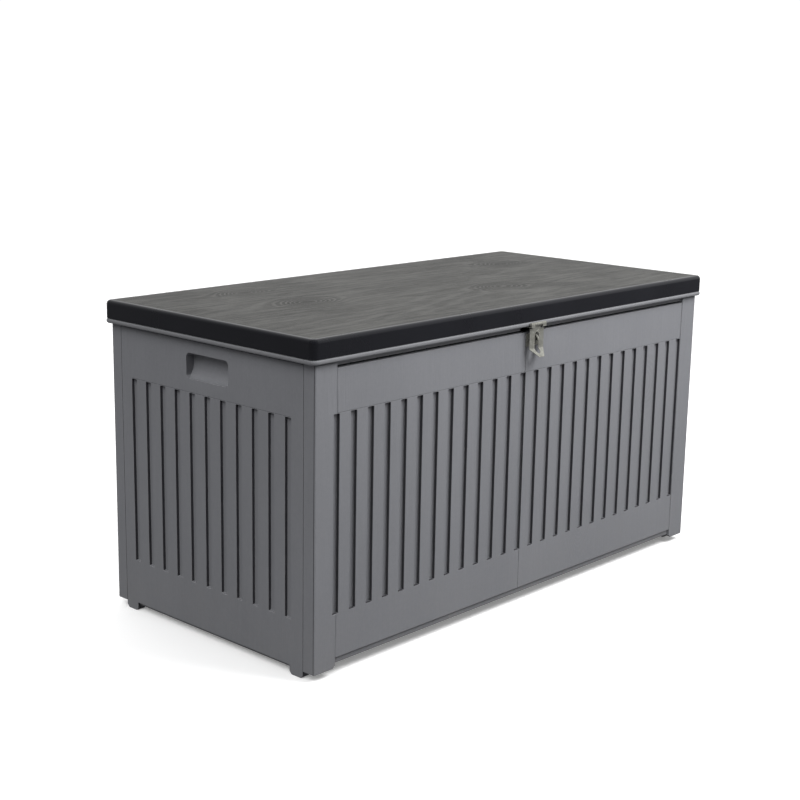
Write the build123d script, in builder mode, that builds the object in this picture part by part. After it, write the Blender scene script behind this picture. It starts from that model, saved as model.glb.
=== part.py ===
"""Deck storage box: slatted plastic body of flat-pack panels, hinged lid, steel hinges and hasp."""
import os
from build123d import *

os.makedirs("parts", exist_ok=True)

# Frame: X along the front, Y from front to back, Z up. Origin on the ground under the middle.

# Body
body_width = 1105.0
body_depth = 529.0
post_top = 533.0
post_foot = 13.0
post_width = 48.5
post_return = 26.5
wall = 3.0
post_step = 1.0
panel_top = 523.5
panel_bottom = 31.0
flange_depth = 14.0
fit_gap = 0.3

# Slats
groove_width = 14.5
groove_depth = 5.8
front_groove_count = 26
front_groove_shift = -4.0
front_groove_low = 108.0
front_groove_high = 448.5
side_groove_margin = 35.75
side_groove_count = 11
side_groove_low = 97.6
side_groove_high = 439.9

# Lap joint between the two halves of a long wall
lap_reach = 20.0
seam_gap = 0.5
seam_relief = 1.5

# Side panels
side_top = 531.5
side_gap = 0.75
arch_height = 16.0
foot_width = 32.0
foot_chamfer = 5.0
foot_block_depth = 20.0
end_flange_reach = 43.0
end_flange_top = 520.0

# Handle pockets
handle_width = 110.0
handle_low = 465.0
handle_high = 510.0
handle_depth = 18.0
handle_corner = 9.0
handle_back_height = 18.0

# Base tray
tray_thickness = 3.0
tray_seat_gap = 0.2
tray_front_setback = 2.5
tray_front_rim_low = 20.5
tray_side_rim_low = 11.0
tray_rib_low = 14.0
tray_rib_thickness = 2.5
tray_post_gap = 4.0
tray_edge_gap = 1.0
pad_size = 44.0
pad_spacing_x = 260.0
pad_spacing_y = 140.0

# Lid
lid_side_overhang = 11.2
lid_front_overhang = 6.9
lid_bottom = 535.0
lid_top_height = 576.5
lid_corner = 12.0
lid_edge_round = 7.0
bead_height = 8.6
bead_stand_out = 0.8
bead_round = 3.6
bead_inset = 5.5
lid_seat_gap = 0.4
lid_rib_thickness = 2.5
lid_ribs_along = 4
lid_ribs_across = 9
lip_drop = 7.5
lip_setback = 3.2
lip_end_gap = 1.5
lip_notch_half = 32.0

# Screws
screw_radius = 2.0
screw_length = 9.0
screw_head_radius = 4.0
screw_head_height = 2.2
screw_clearance = 0.05
boss_radius = 5.0
corner_screw_inset = 24.0
corner_screw_slack = 1.0
seam_screw_inset = 11.0
tray_screw_inset = 11.0

# Rear hinges
hinge_spacing = 720.0
hinge_width = 60.0
hinge_plate = 2.0
hinge_knuckle_radius = 4.75
hinge_pin_radius = 2.5
hinge_axis_behind_lid = 6.6
hinge_axis_height = 535.0
hinge_knuckle_gap = 0.4
hinge_leaf_drop = 50.0
hinge_leaf_rise = 37.0
hinge_bend_height = 18.0
hinge_screw_spacing = 36.0
hinge_lid_bend_offset = 4.0
hinge_body_screw_low = 8.0
hinge_body_screw_high = 22.0
hinge_lid_screw_low = 15.0
hinge_lid_screw_high = 6.0
hinge_pin_stand_out = 1.0
hinge_pin_chamfer = 0.5
running_clearance = 0.05

# Hasp
hasp_width = 40.0
hasp_plate = 1.5
hasp_knuckle_radius = 3.2
hasp_pin_radius = 1.5
hasp_axis_height = 539.2
hasp_bead_gap = 0.4
hasp_tongue_half = 10.5
hasp_shoulder_height = 531.0
hasp_bend_height = 493.0
hasp_tip_height = 479.0
hasp_tip_half = 6.0
hasp_slot_half = 6.0
hasp_slot_top = 524.0
hasp_slot_end = 484.5
bracket_half = 21.5
bracket_reach = 24.0
bracket_drop = 0.2
bracket_front_lap = 2.0
bracket_screw_half = 12.0
hasp_pin_stand_out = 0.8
knuckle_side_gap = 1.0

# Staple
staple_plate_half = 19.0
staple_plate_low = 497.0
staple_plate_high = 521.0
staple_height = 509.0
staple_wire_radius = 2.0
staple_bend_radius = 9.0
staple_stand_out = 16.0
staple_screw_spacing = 28.0

# Places that several pieces share
half_width = body_width / 2
half_depth = body_depth / 2
post_inner_x = half_width - post_width
post_inner_y = half_depth - post_return
panel_face_y = half_depth - post_step
skin_back_y = panel_face_y - wall
groove_floor_y = panel_face_y - groove_depth
groove_back_y = groove_floor_y - wall
side_half_length = post_inner_y - side_gap
front_groove_span = 2 * (post_inner_x + front_groove_shift)
front_groove_pitch = front_groove_span / (front_groove_count - 1)
side_groove_pitch = 2 * (side_half_length - side_groove_margin) / (side_groove_count - 1)
front_grooves = [
    front_groove_shift - front_groove_span / 2 + front_groove_pitch * i
    for i in range(front_groove_count)
]
side_grooves = [
    side_groove_pitch * (i - (side_groove_count - 1) / 2) for i in range(side_groove_count)
]
seam_groove = front_grooves[front_groove_count // 2 - 1]
seam_x = seam_groove + groove_width / 2
lid_half_x = half_width + lid_side_overhang
lid_half_y = half_depth + lid_front_overhang
tray_top = panel_bottom - tray_seat_gap
tray_underside = tray_top - tray_thickness
end_flange_y = side_half_length - wall
lid_shell_bottom = lid_bottom + bead_height + lid_seat_gap
lid_pan_top = lid_bottom + wall
lid_ceiling = lid_top_height - wall
hinge_axis_y = lid_half_y + hinge_axis_behind_lid
hasp_back_y = lid_half_y + bead_stand_out + hasp_bead_gap
hasp_axis_y = hasp_back_y + hasp_knuckle_radius
hasp_plate_y = hasp_back_y + hasp_plate / 2

corner_screw_heights = [60.0, 175.0, 290.0, 405.0, 500.0]
corner_screw_x = half_width - corner_screw_inset
seam_screw_heights = [65.0, 195.0, 325.0, 485.0]
seam_screw_x = seam_x + seam_screw_inset
tray_screw_xs = [-400.0, -150.0, 150.0, 400.0]
tray_screw_y = panel_face_y - tray_screw_inset
lid_boss_xs = [-455.0, -225.0, 0.0, 225.0, 455.0]
lid_boss_ys = [-163.0, 163.0]


def span_box(x, y, z, mode=Mode.ADD):
    """A block from the low to the high value on each axis."""
    centre = ((x[0] + x[1]) / 2, (y[0] + y[1]) / 2, (z[0] + z[1]) / 2)
    with Locations(centre):
        Box(x[1] - x[0], y[1] - y[0], z[1] - z[0], mode=mode)


def save(part, label):
    """Label a finished piece and write it."""
    part.label = label
    export_step(part, f"parts/{label}.step")


def screw_holes(places, direction, depth):
    """Clearance holes along a direction, each starting at its place."""
    for place in places:
        with BuildSketch(Plane(origin=place, z_dir=direction)) as hole:
            Circle(screw_radius + screw_clearance)
        extrude(hole.sketch, amount=depth, mode=Mode.SUBTRACT)


def screw_set(places, direction, length):
    """Pan-head screws whose heads sit at the places, with shanks along the direction."""
    for place in places:
        seat = Plane(origin=place, z_dir=direction)
        with BuildSketch(seat) as shank:
            Circle(screw_radius)
        extrude(shank.sketch, amount=length)
        with BuildSketch(seat) as head:
            Circle(screw_head_radius)
        extrude(head.sketch, amount=-screw_head_height)


def corner_screw_places(side, end):
    """Screw heads inside one corner, on the side panel's end flange."""
    return [(side * corner_screw_x, end * end_flange_y, z) for z in corner_screw_heights]


def hinge_screw_places(hinge_x, y, heights):
    """Four screws in one hinge leaf."""
    return [
        (hinge_x + across * hinge_screw_spacing / 2, y, z)
        for across in (-1, 1)
        for z in heights
    ]


# Half of a long wall, with its corner post in the same moulding
def long_wall_half(left):
    side = -1 if left else 1
    if left:
        skin = (-post_inner_x, seam_x - seam_gap / 2)
        grooves = [x for x in front_grooves if x < seam_x]
    else:
        skin = (seam_x + seam_gap / 2, post_inner_x)
        grooves = [x for x in front_grooves if x > seam_x]
    post_x = tuple(sorted((side * half_width, side * post_inner_x)))
    with BuildPart() as half:
        span_box(post_x, (-half_depth, -post_inner_y), (post_foot, post_top))
        front_edges = half.edges().filter_by(Axis.Z).group_by(Axis.Y)[0].sort_by(Axis.X)
        foot_edges = half.edges().filter_by(Axis.Y).group_by(Axis.Z)[0].sort_by(Axis.X)
        outermost, innermost = (0, -1) if left else (-1, 0)
        inner_foot_edge = foot_edges[innermost]
        fillet(front_edges[outermost], radius=wall)
        chamfer(inner_foot_edge, length=foot_chamfer)
        span_box(skin, (-panel_face_y, -skin_back_y), (panel_bottom, panel_top))
        for low in (panel_bottom, panel_top - wall):
            rail = (skin[0], skin[1])
            span_box(rail, (-panel_face_y, flange_depth - panel_face_y), (low, low + wall))
        for x in grooves:
            outer = groove_width / 2 + wall
            heights = (front_groove_low - wall, front_groove_high + wall)
            edge = min(x + outer, skin[1])
            span_box((x - outer, edge), (-panel_face_y, -groove_back_y), heights)
        if left:
            web = seam_groove - groove_width / 2
            heights = (panel_bottom + wall + fit_gap, panel_top - wall - fit_gap)
            span_box((web - wall, web), (-panel_face_y, -groove_back_y), heights)
            lap = (web - wall, seam_x + lap_reach)
            span_box(lap, (-groove_floor_y, -groove_back_y), heights)
        for x in grooves:
            with BuildSketch(Plane.XZ.offset(groove_floor_y)):
                with Locations((x, (front_groove_low + front_groove_high) / 2)):
                    RectangleRounded(groove_width, front_groove_high - front_groove_low, wall / 2)
            extrude(amount=half_depth, mode=Mode.SUBTRACT)
        if not left:
            relief = (seam_x - wall, seam_x + seam_relief)
            heights = (front_groove_low, front_groove_high)
            span_box(relief, (-half_depth, -groove_floor_y), heights, mode=Mode.SUBTRACT)
        hollow_x = (post_x[0] + wall, post_x[1] - wall)
        if left:
            hollow_x = (post_x[0] + wall, front_grooves[0] - groove_width / 2 - wall)
        hollow_y = (wall - half_depth, -post_inner_y - wall)
        span_box(hollow_x, hollow_y, (post_foot, post_top - wall), mode=Mode.SUBTRACT)
        screw_holes(corner_screw_places(side, -1), (0, -1, 0), screw_length)
        seam_places = [(seam_screw_x, -groove_back_y, z) for z in seam_screw_heights]
        screw_holes(seam_places, (0, -1, 0), panel_face_y - groove_back_y - wall / 2)
        tray_places = [(x, -tray_screw_y, tray_top) for x in tray_screw_xs]
        screw_holes(tray_places, (0, 0, 1), wall + tray_seat_gap)
    return half.part


front_left = long_wall_half(True)
front_right = long_wall_half(False)
save(front_left, "front_panel_left")
save(front_right, "front_panel_right")
save(Rot(0, 0, 180) * long_wall_half(True), "back_panel_right")
save(Rot(0, 0, 180) * long_wall_half(False), "back_panel_left")


# End wall with its handle pocket and feet
def side_panel():
    face = -half_width
    with BuildPart() as panel:
        with BuildSketch(Plane.YZ.offset(face)):
            with BuildLine():
                Polyline(
                    (-side_half_length, side_top),
                    (-side_half_length, foot_chamfer),
                    (foot_chamfer - side_half_length, 0),
                    (foot_width - foot_chamfer - side_half_length, 0),
                    (foot_width - side_half_length, foot_chamfer),
                    (foot_width - side_half_length, arch_height),
                    (side_half_length - foot_width, arch_height),
                    (side_half_length - foot_width, foot_chamfer),
                    (side_half_length - foot_width + foot_chamfer, 0),
                    (side_half_length - foot_chamfer, 0),
                    (side_half_length, foot_chamfer),
                    (side_half_length, side_top),
                    close=True,
                )
            make_face()
        extrude(amount=wall)
        for end in (-1, 1):
            foot_y = tuple(
                sorted((end * side_half_length, end * (side_half_length - foot_width)))
            )
            foot_pad = (foot_y[0] + foot_chamfer, foot_y[1] - foot_chamfer)
            span_box((face, face + foot_block_depth), foot_pad, (0, arch_height))
            flange_y = tuple(sorted((end * side_half_length, end * end_flange_y)))
            span_box((face, face + end_flange_reach), flange_y, (arch_height, end_flange_top))
        span_box(
            (face, face + flange_depth),
            (-side_half_length, side_half_length),
            (side_top - wall, side_top),
        )
        for y in side_grooves:
            outer = groove_width / 2 + wall
            span_box(
                (face, face + groove_depth + wall),
                (y - outer, y + outer),
                (side_groove_low - wall, side_groove_high + wall),
            )
        for y in side_grooves:
            with BuildSketch(Plane.YZ.offset(face)):
                with Locations((y, (side_groove_low + side_groove_high) / 2)):
                    RectangleRounded(groove_width, side_groove_high - side_groove_low, wall / 2)
            extrude(amount=groove_depth, mode=Mode.SUBTRACT)
        with BuildSketch(Plane.YZ.offset(face)):
            with Locations((0, (handle_low + handle_high) / 2)):
                RectangleRounded(
                    handle_width + 2 * wall,
                    handle_high - handle_low + 2 * wall,
                    handle_corner + wall,
                )
        extrude(amount=handle_depth + wall)
        with BuildSketch(Plane.YZ.offset(face)):
            with Locations((0, (handle_low + handle_high) / 2)):
                RectangleRounded(handle_width, handle_high - handle_low, handle_corner)
        extrude(amount=handle_depth, mode=Mode.SUBTRACT)
        with BuildSketch(Plane.XZ.offset(-handle_width / 2)):
            with BuildLine():
                scoop_low = (face + wall / 2, handle_low)
                scoop_pull = (face + handle_depth - wall, handle_low + wall / 2)
                scoop_top = (face + handle_depth, handle_high - handle_back_height)
                Bezier(scoop_low, scoop_pull, scoop_top)
                Polyline(
                    scoop_top,
                    (scoop_top[0] + wall / 2, scoop_top[1]),
                    (scoop_top[0] + wall / 2, handle_low - wall / 2),
                    (scoop_low[0], handle_low - wall / 2),
                    scoop_low,
                )
            make_face()
        extrude(amount=handle_width)
        for end in (-1, 1):
            screw_holes(corner_screw_places(-1, end), (0, end, 0), screw_length)
    return panel.part


left_side = side_panel()
save(left_side, "side_panel_left")
save(Rot(0, 0, 180) * left_side, "side_panel_right")

# Base tray that the long walls stand on
tray_x = half_width - wall - tray_edge_gap
tray_y = panel_face_y - tray_front_setback
with BuildPart() as base_tray:
    inner_y = end_flange_y - tray_edge_gap
    deck_z = (tray_underside, tray_top)
    span_box((-tray_x, tray_x), (-inner_y, inner_y), deck_z)
    tray_reach = post_inner_x - tray_post_gap
    span_box((-tray_reach, tray_reach), (-tray_y, tray_y), deck_z)
    for end in (-1, 1):
        rim_y = tuple(sorted((end * tray_y, end * (tray_y - wall))))
        span_box((-tray_reach, tray_reach), rim_y, (tray_front_rim_low, tray_top))
        rim_x = tuple(sorted((end * tray_x, end * (tray_x - wall))))
        rim_half = side_half_length - foot_width - tray_edge_gap
        span_box(rim_x, (-rim_half, rim_half), (tray_side_rim_low, tray_top))
    rib_z = (tray_rib_low, tray_top)
    for row in (-2, -1, 0, 1, 2):
        y = row * pad_spacing_y / 2
        rib_y = (y - tray_rib_thickness / 2, y + tray_rib_thickness / 2)
        span_box((-tray_x, tray_x), rib_y, rib_z)
    for column in range(-4, 5):
        x = column * pad_spacing_x / 2
        rib_x = (x - tray_rib_thickness / 2, x + tray_rib_thickness / 2)
        span_box(rib_x, (-inner_y, inner_y), rib_z)
    with Locations((0, 0, tray_underside / 2)):
        with GridLocations(pad_spacing_x, pad_spacing_y, 3, 2):
            Box(pad_size, pad_size, tray_underside)
    with Locations((0, 0, (tray_underside - wall) / 2 + wall)):
        with GridLocations(pad_spacing_x, pad_spacing_y, 3, 2):
            Box(pad_size - 2 * wall, pad_size - 2 * wall, tray_underside - wall, mode=Mode.SUBTRACT)
    for end in (-1, 1):
        places = [(x, end * tray_screw_y, tray_underside) for x in tray_screw_xs]
        screw_holes(places, (0, 0, 1), tray_thickness)
save(base_tray.part, "base_tray")

# Screws that hold the body together
with BuildPart() as corner_screws:
    for side in (-1, 1):
        for end in (-1, 1):
            screw_set(corner_screw_places(side, end), (0, end, 0), screw_length - corner_screw_slack)
save(corner_screws.part, "corner_screws")

seam_shank = panel_face_y - groove_back_y - wall / 2 - fit_gap
with BuildPart() as seam_screws:
    for end in (-1, 1):
        places = [(-end * seam_screw_x, end * groove_back_y, z) for z in seam_screw_heights]
        screw_set(places, (0, end, 0), seam_shank)
save(seam_screws.part, "seam_screws")

with BuildPart() as tray_screws:
    for end in (-1, 1):
        places = [(x, end * tray_screw_y, tray_underside) for x in tray_screw_xs]
        screw_set(places, (0, 0, 1), tray_thickness + tray_seat_gap + wall)
save(tray_screws.part, "tray_screws")

# Lid shell
with BuildPart() as lid_shell:
    with BuildSketch(Plane.XY.offset(lid_shell_bottom)):
        RectangleRounded(2 * lid_half_x, 2 * lid_half_y, lid_corner)
    extrude(amount=lid_top_height - lid_shell_bottom)
    fillet(lid_shell.faces().sort_by(Axis.Z)[-1].edges(), radius=lid_edge_round)
    with BuildSketch(Plane.XY.offset(lid_shell_bottom)):
        RectangleRounded(2 * (lid_half_x - wall), 2 * (lid_half_y - wall), lid_corner - wall)
    extrude(amount=lid_ceiling - lid_shell_bottom, mode=Mode.SUBTRACT)
    boss_low = lid_pan_top + lid_seat_gap
    for x in lid_boss_xs:
        for y in lid_boss_ys:
            with BuildSketch(Plane.XY.offset(boss_low)):
                with Locations((x, y)):
                    Circle(boss_radius)
                    Circle(screw_radius + screw_clearance, mode=Mode.SUBTRACT)
            extrude(amount=lid_ceiling + wall / 3 - boss_low)
save(lid_shell.part, "lid_shell")

# Lid pan: the underside with its rolled bead, ribs and front lip
with BuildPart() as lid_pan:
    with BuildSketch(Plane.XY.offset(lid_bottom)):
        RectangleRounded(
            2 * (lid_half_x + bead_stand_out),
            2 * (lid_half_y + bead_stand_out),
            lid_corner + bead_stand_out,
        )
    extrude(amount=bead_height)
    low_rim = lid_pan.faces().sort_by(Axis.Z)[0].edges()
    high_rim = lid_pan.faces().sort_by(Axis.Z)[-1].edges()
    fillet(low_rim + high_rim, radius=bead_round)
    with BuildSketch(Plane.XY.offset(lid_pan_top)):
        RectangleRounded(
            2 * (lid_half_x - bead_inset),
            2 * (lid_half_y - bead_inset),
            lid_corner - bead_inset,
        )
    extrude(amount=bead_height, mode=Mode.SUBTRACT)
    rib_z = (lid_pan_top, lid_ceiling - fit_gap)
    rib_end_x = lid_half_x - bead_inset + fit_gap
    rib_end_y = lid_half_y - bead_inset + fit_gap
    for i in range(lid_ribs_along):
        y = (i - (lid_ribs_along - 1) / 2) * 2 * rib_end_y / lid_ribs_along
        rib_y = (y - lid_rib_thickness / 2, y + lid_rib_thickness / 2)
        span_box((-rib_end_x, rib_end_x), rib_y, rib_z)
    for i in range(lid_ribs_across):
        x = (i - (lid_ribs_across - 1) / 2) * 2 * rib_end_x / lid_ribs_across
        rib_x = (x - lid_rib_thickness / 2, x + lid_rib_thickness / 2)
        span_box(rib_x, (-rib_end_y, rib_end_y), rib_z)
    lip_half = post_inner_x - lip_end_gap
    lip_y = (lip_setback - panel_face_y, lip_setback + wall - panel_face_y)
    for end in (-1, 1):
        lip_x = tuple(sorted((end * lip_half, end * lip_notch_half)))
        span_box(lip_x, lip_y, (lid_bottom - lip_drop, lid_bottom))
    for x in lid_boss_xs:
        for y in lid_boss_ys:
            with BuildSketch(Plane.XY.offset(lid_bottom)):
                with Locations((x, y)):
                    Circle(screw_radius + screw_clearance)
            extrude(amount=wall, mode=Mode.SUBTRACT)
            with BuildSketch(Plane.XY.offset(lid_pan_top)):
                with Locations((x, y)):
                    Circle(boss_radius + fit_gap)
            extrude(amount=lid_ceiling, mode=Mode.SUBTRACT)
save(lid_pan.part, "lid_pan")

with BuildPart() as lid_screws:
    places = [(x, y, lid_bottom) for x in lid_boss_xs for y in lid_boss_ys]
    screw_set(places, (0, 0, 1), lid_ceiling - lid_bottom - 2 * wall)
save(lid_screws.part, "lid_screws")

# Rear hinges
segment = hinge_width / 5
body_segments = [-2 * segment, 0, 2 * segment]
lid_segments = [-segment, segment]
body_leaf_low = hinge_axis_height - hinge_leaf_drop
lid_leaf_high = hinge_axis_height + hinge_leaf_rise
body_hinge_heights = (body_leaf_low + hinge_body_screw_low, body_leaf_low + hinge_body_screw_high)
lid_hinge_heights = (lid_leaf_high - hinge_lid_screw_low, lid_leaf_high - hinge_lid_screw_high)


def hinge_leaf(hinge_x, on_body):
    """A leaf bent from plate, with its knuckles round the pin's axis."""
    if on_body:
        plate_y = panel_face_y + hinge_plate / 2
        far = (plate_y, body_leaf_low)
        bend = (plate_y, hinge_axis_height - hinge_bend_height)
        own, other = body_segments, lid_segments
    else:
        plate_y = lid_half_y + hinge_plate / 2
        far = (plate_y, lid_leaf_high)
        bend = (plate_y, hinge_axis_height + hinge_bend_height - hinge_lid_bend_offset)
        own, other = lid_segments, body_segments
    run = Vector(hinge_axis_y - bend[0], hinge_axis_height - bend[1])
    reach = run.length - (hinge_knuckle_radius + hinge_pin_radius) / 2
    end = Vector(*bend) + run.normalized() * reach
    inset = Plane.YZ.offset(hinge_x - hinge_width / 2)
    with BuildPart() as leaf:
        with BuildSketch(inset):
            with BuildLine():
                Polyline(far, bend, (end.X, end.Y))
            trace(line_width=hinge_plate)
        extrude(amount=hinge_width)
        for place in other:
            low = hinge_x + place - segment / 2 - hinge_knuckle_gap
            with BuildSketch(Plane.YZ.offset(low)):
                with Locations((hinge_axis_y, hinge_axis_height)):
                    Circle(hinge_knuckle_radius + 2 * hinge_knuckle_gap)
            extrude(amount=segment + 2 * hinge_knuckle_gap, mode=Mode.SUBTRACT)
        for place in own:
            trim = hinge_knuckle_gap if not on_body else 0.0
            low = hinge_x + place - segment / 2 + trim
            with BuildSketch(Plane.YZ.offset(low)):
                with Locations((hinge_axis_y, hinge_axis_height)):
                    Circle(hinge_knuckle_radius)
            extrude(amount=segment - 2 * trim)
        with BuildSketch(inset):
            with Locations((hinge_axis_y, hinge_axis_height)):
                Circle(hinge_pin_radius + running_clearance)
        extrude(amount=hinge_width, mode=Mode.SUBTRACT)
        heights = body_hinge_heights if on_body else lid_hinge_heights
        start_y = plate_y + hinge_plate / 2
        screw_holes(hinge_screw_places(hinge_x, start_y, heights), (0, -1, 0), hinge_plate)
    return leaf.part


for side, word in ((-1, "left"), (1, "right")):
    hinge_x = side * hinge_spacing / 2
    save(hinge_leaf(hinge_x, True), f"hinge_{word}_body_leaf")
    save(hinge_leaf(hinge_x, False), f"hinge_{word}_lid_leaf")
    with BuildPart() as hinge_pin:
        pin_start = hinge_x - hinge_width / 2 - hinge_pin_stand_out
        with BuildSketch(Plane.YZ.offset(pin_start)):
            with Locations((hinge_axis_y, hinge_axis_height)):
                Circle(hinge_pin_radius)
        extrude(amount=hinge_width + 2 * hinge_pin_stand_out)
        chamfer(hinge_pin.edges().filter_by(GeomType.CIRCLE), length=hinge_pin_chamfer)
    save(hinge_pin.part, f"hinge_{word}_pin")

for label, face_y, heights in (
    ("hinge_body_screws", panel_face_y, body_hinge_heights),
    ("hinge_lid_screws", lid_half_y, lid_hinge_heights),
):
    with BuildPart() as hinge_screws:
        for side in (-1, 1):
            places = hinge_screw_places(side * hinge_spacing / 2, face_y + hinge_plate, heights)
            screw_set(places, (0, -1, 0), hinge_plate - screw_clearance)
    save(hinge_screws.part, label)

# Hasp bracket under the front bead
knuckle_inner = hasp_tongue_half + knuckle_side_gap
with BuildPart() as hasp_bracket:
    plate_top = lid_bottom - bracket_drop
    plate_z = (plate_top - hasp_plate, plate_top)
    plate_y = (-half_depth - bracket_front_lap, bracket_reach - half_depth)
    span_box((-bracket_half, bracket_half), plate_y, plate_z)
    for side in (-1, 1):
        arm_x = tuple(sorted((side * bracket_half, side * knuckle_inner)))
        span_box(arm_x, (-hasp_axis_y, -half_depth), plate_z)
        with BuildSketch(Plane.YZ.offset(arm_x[0])):
            with Locations((-hasp_axis_y, hasp_axis_height)):
                Circle(hasp_knuckle_radius)
        extrude(amount=arm_x[1] - arm_x[0])
        front_low = -hasp_axis_y - hasp_knuckle_radius
        front = (front_low, front_low + hasp_plate)
        span_box(arm_x, (front_low, -hasp_axis_y), plate_z)
        span_box(arm_x, front, (plate_z[0], hasp_axis_height))
    with BuildSketch(Plane.YZ.offset(-bracket_half)):
        with Locations((-hasp_axis_y, hasp_axis_height)):
            Circle(hasp_pin_radius + running_clearance)
    extrude(amount=2 * bracket_half, mode=Mode.SUBTRACT)
    bracket_screws = [
        (side * bracket_screw_half, bracket_reach / 2 - half_depth, plate_z[0]) for side in (-1, 1)
    ]
    screw_holes(bracket_screws, (0, 0, 1), hasp_plate)
save(hasp_bracket.part, "hasp_bracket")

with BuildPart() as hasp_screws:
    screw_set(bracket_screws, (0, 0, 1), hasp_plate)
save(hasp_screws.part, "hasp_screws")

with BuildPart() as hasp_pin:
    with BuildSketch(Plane.YZ.offset(-bracket_half - hasp_pin_stand_out)):
        with Locations((-hasp_axis_y, hasp_axis_height)):
            Circle(hasp_pin_radius)
    extrude(amount=2 * (bracket_half + hasp_pin_stand_out))
save(hasp_pin.part, "hasp_pin")

# Hasp leaf: slotted plate whose finger tab turns outwards
tab_reach = hasp_bend_height - hasp_tip_height
with BuildPart() as hasp_leaf:
    with BuildSketch(Plane.YZ.offset(-hasp_width / 2)):
        with BuildLine():
            Polyline(
                (-hasp_plate_y, hasp_axis_height),
                (-hasp_plate_y, hasp_bend_height),
                (-hasp_plate_y - tab_reach, hasp_tip_height),
            )
        trace(line_width=hasp_plate)
    extrude(amount=hasp_width)
    with BuildSketch(Plane.XZ.offset(hasp_axis_y - 2 * hasp_knuckle_radius)):
        with BuildLine():
            Polyline(
                (-hasp_tongue_half, hasp_axis_height),
                (-hasp_tongue_half, hasp_shoulder_height),
                (-hasp_width / 2, hasp_shoulder_height),
                (-hasp_width / 2, hasp_bend_height),
                (-hasp_tip_half, hasp_tip_height - hasp_plate / 2),
                (hasp_tip_half, hasp_tip_height - hasp_plate / 2),
                (hasp_width / 2, hasp_bend_height),
                (hasp_width / 2, hasp_shoulder_height),
                (hasp_tongue_half, hasp_shoulder_height),
                (hasp_tongue_half, hasp_axis_height),
                close=True,
            )
        make_face()
        with Locations((0, (hasp_slot_top + hasp_slot_end) / 2)):
            SlotOverall(
                hasp_slot_top - hasp_slot_end,
                2 * hasp_slot_half,
                rotation=90,
                mode=Mode.SUBTRACT,
            )
    extrude(amount=tab_reach + 4 * hasp_knuckle_radius, mode=Mode.INTERSECT)
    with BuildSketch(Plane.YZ.offset(-hasp_tongue_half)):
        with Locations((-hasp_axis_y, hasp_axis_height)):
            Circle(hasp_knuckle_radius)
    extrude(amount=2 * hasp_tongue_half)
    with BuildSketch(Plane.YZ.offset(-hasp_tongue_half)):
        with Locations((-hasp_axis_y, hasp_axis_height)):
            Circle(hasp_pin_radius + running_clearance)
    extrude(amount=2 * hasp_tongue_half, mode=Mode.SUBTRACT)
save(hasp_leaf.part, "hasp_leaf")

# Staple on the body
staple_screw_places = [
    (side * staple_screw_spacing / 2, -panel_face_y - hasp_plate, staple_height) for side in (-1, 1)
]
arc_y = panel_face_y + staple_stand_out - staple_wire_radius - staple_bend_radius
with BuildPart() as staple_plate:
    span_box(
        (-staple_plate_half, staple_plate_half),
        (-panel_face_y - hasp_plate, -panel_face_y),
        (staple_plate_low, staple_plate_high),
    )
    fillet(staple_plate.edges().filter_by(Axis.Y), radius=hasp_plate)
    screw_holes(staple_screw_places, (0, 1, 0), hasp_plate)
    for side in (-1, 1):
        with BuildSketch(Plane.XZ.offset(panel_face_y)):
            with Locations((0, staple_height + side * staple_bend_radius)):
                Circle(staple_wire_radius + screw_clearance)
        extrude(amount=hasp_plate, mode=Mode.SUBTRACT)
save(staple_plate.part, "staple_plate")

with BuildPart() as staple_loop:
    with BuildLine():
        high = staple_height + staple_bend_radius
        low = staple_height - staple_bend_radius
        Line((0, -panel_face_y, high), (0, -arc_y, high))
        ThreePointArc(
            (0, -arc_y, high),
            (0, -arc_y - staple_bend_radius, staple_height),
            (0, -arc_y, low),
        )
        Line((0, -arc_y, low), (0, -panel_face_y, low))
    with BuildSketch(Plane(origin=(0, -panel_face_y, high), z_dir=(0, -1, 0))):
        Circle(staple_wire_radius)
    sweep()
save(staple_loop.part, "staple_loop")

with BuildPart() as staple_screws:
    screw_set(staple_screw_places, (0, 1, 0), hasp_plate)
save(staple_screws.part, "staple_screws")
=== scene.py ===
import math

import bmesh
import bpy
from mathutils import Matrix, Vector


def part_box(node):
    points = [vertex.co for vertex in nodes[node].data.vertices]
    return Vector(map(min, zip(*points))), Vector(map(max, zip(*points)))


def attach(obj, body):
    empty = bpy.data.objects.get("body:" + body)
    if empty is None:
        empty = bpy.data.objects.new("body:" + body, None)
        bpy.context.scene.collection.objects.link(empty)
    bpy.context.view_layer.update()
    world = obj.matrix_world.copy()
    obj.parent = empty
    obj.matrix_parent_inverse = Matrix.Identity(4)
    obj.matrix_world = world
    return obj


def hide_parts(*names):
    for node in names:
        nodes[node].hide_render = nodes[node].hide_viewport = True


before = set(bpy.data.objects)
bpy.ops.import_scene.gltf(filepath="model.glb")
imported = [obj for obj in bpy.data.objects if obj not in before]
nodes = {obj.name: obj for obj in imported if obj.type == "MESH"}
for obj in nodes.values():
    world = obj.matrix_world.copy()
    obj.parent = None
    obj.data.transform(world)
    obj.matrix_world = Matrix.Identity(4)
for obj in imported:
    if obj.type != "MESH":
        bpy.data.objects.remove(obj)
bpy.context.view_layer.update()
scene = bpy.context.scene
print("frame loaded:", len(nodes), "parts")


# short ways to add and link shader nodes
def addNode(tree, kind, x, y, inputs=(), **settings):
    node = tree.nodes.new(kind)
    node.location = (x, y)
    for key, value in settings.items():
        setattr(node, key, value)
    for key, value in dict(inputs).items():
        node.inputs[key].default_value = value
    return node


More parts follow.
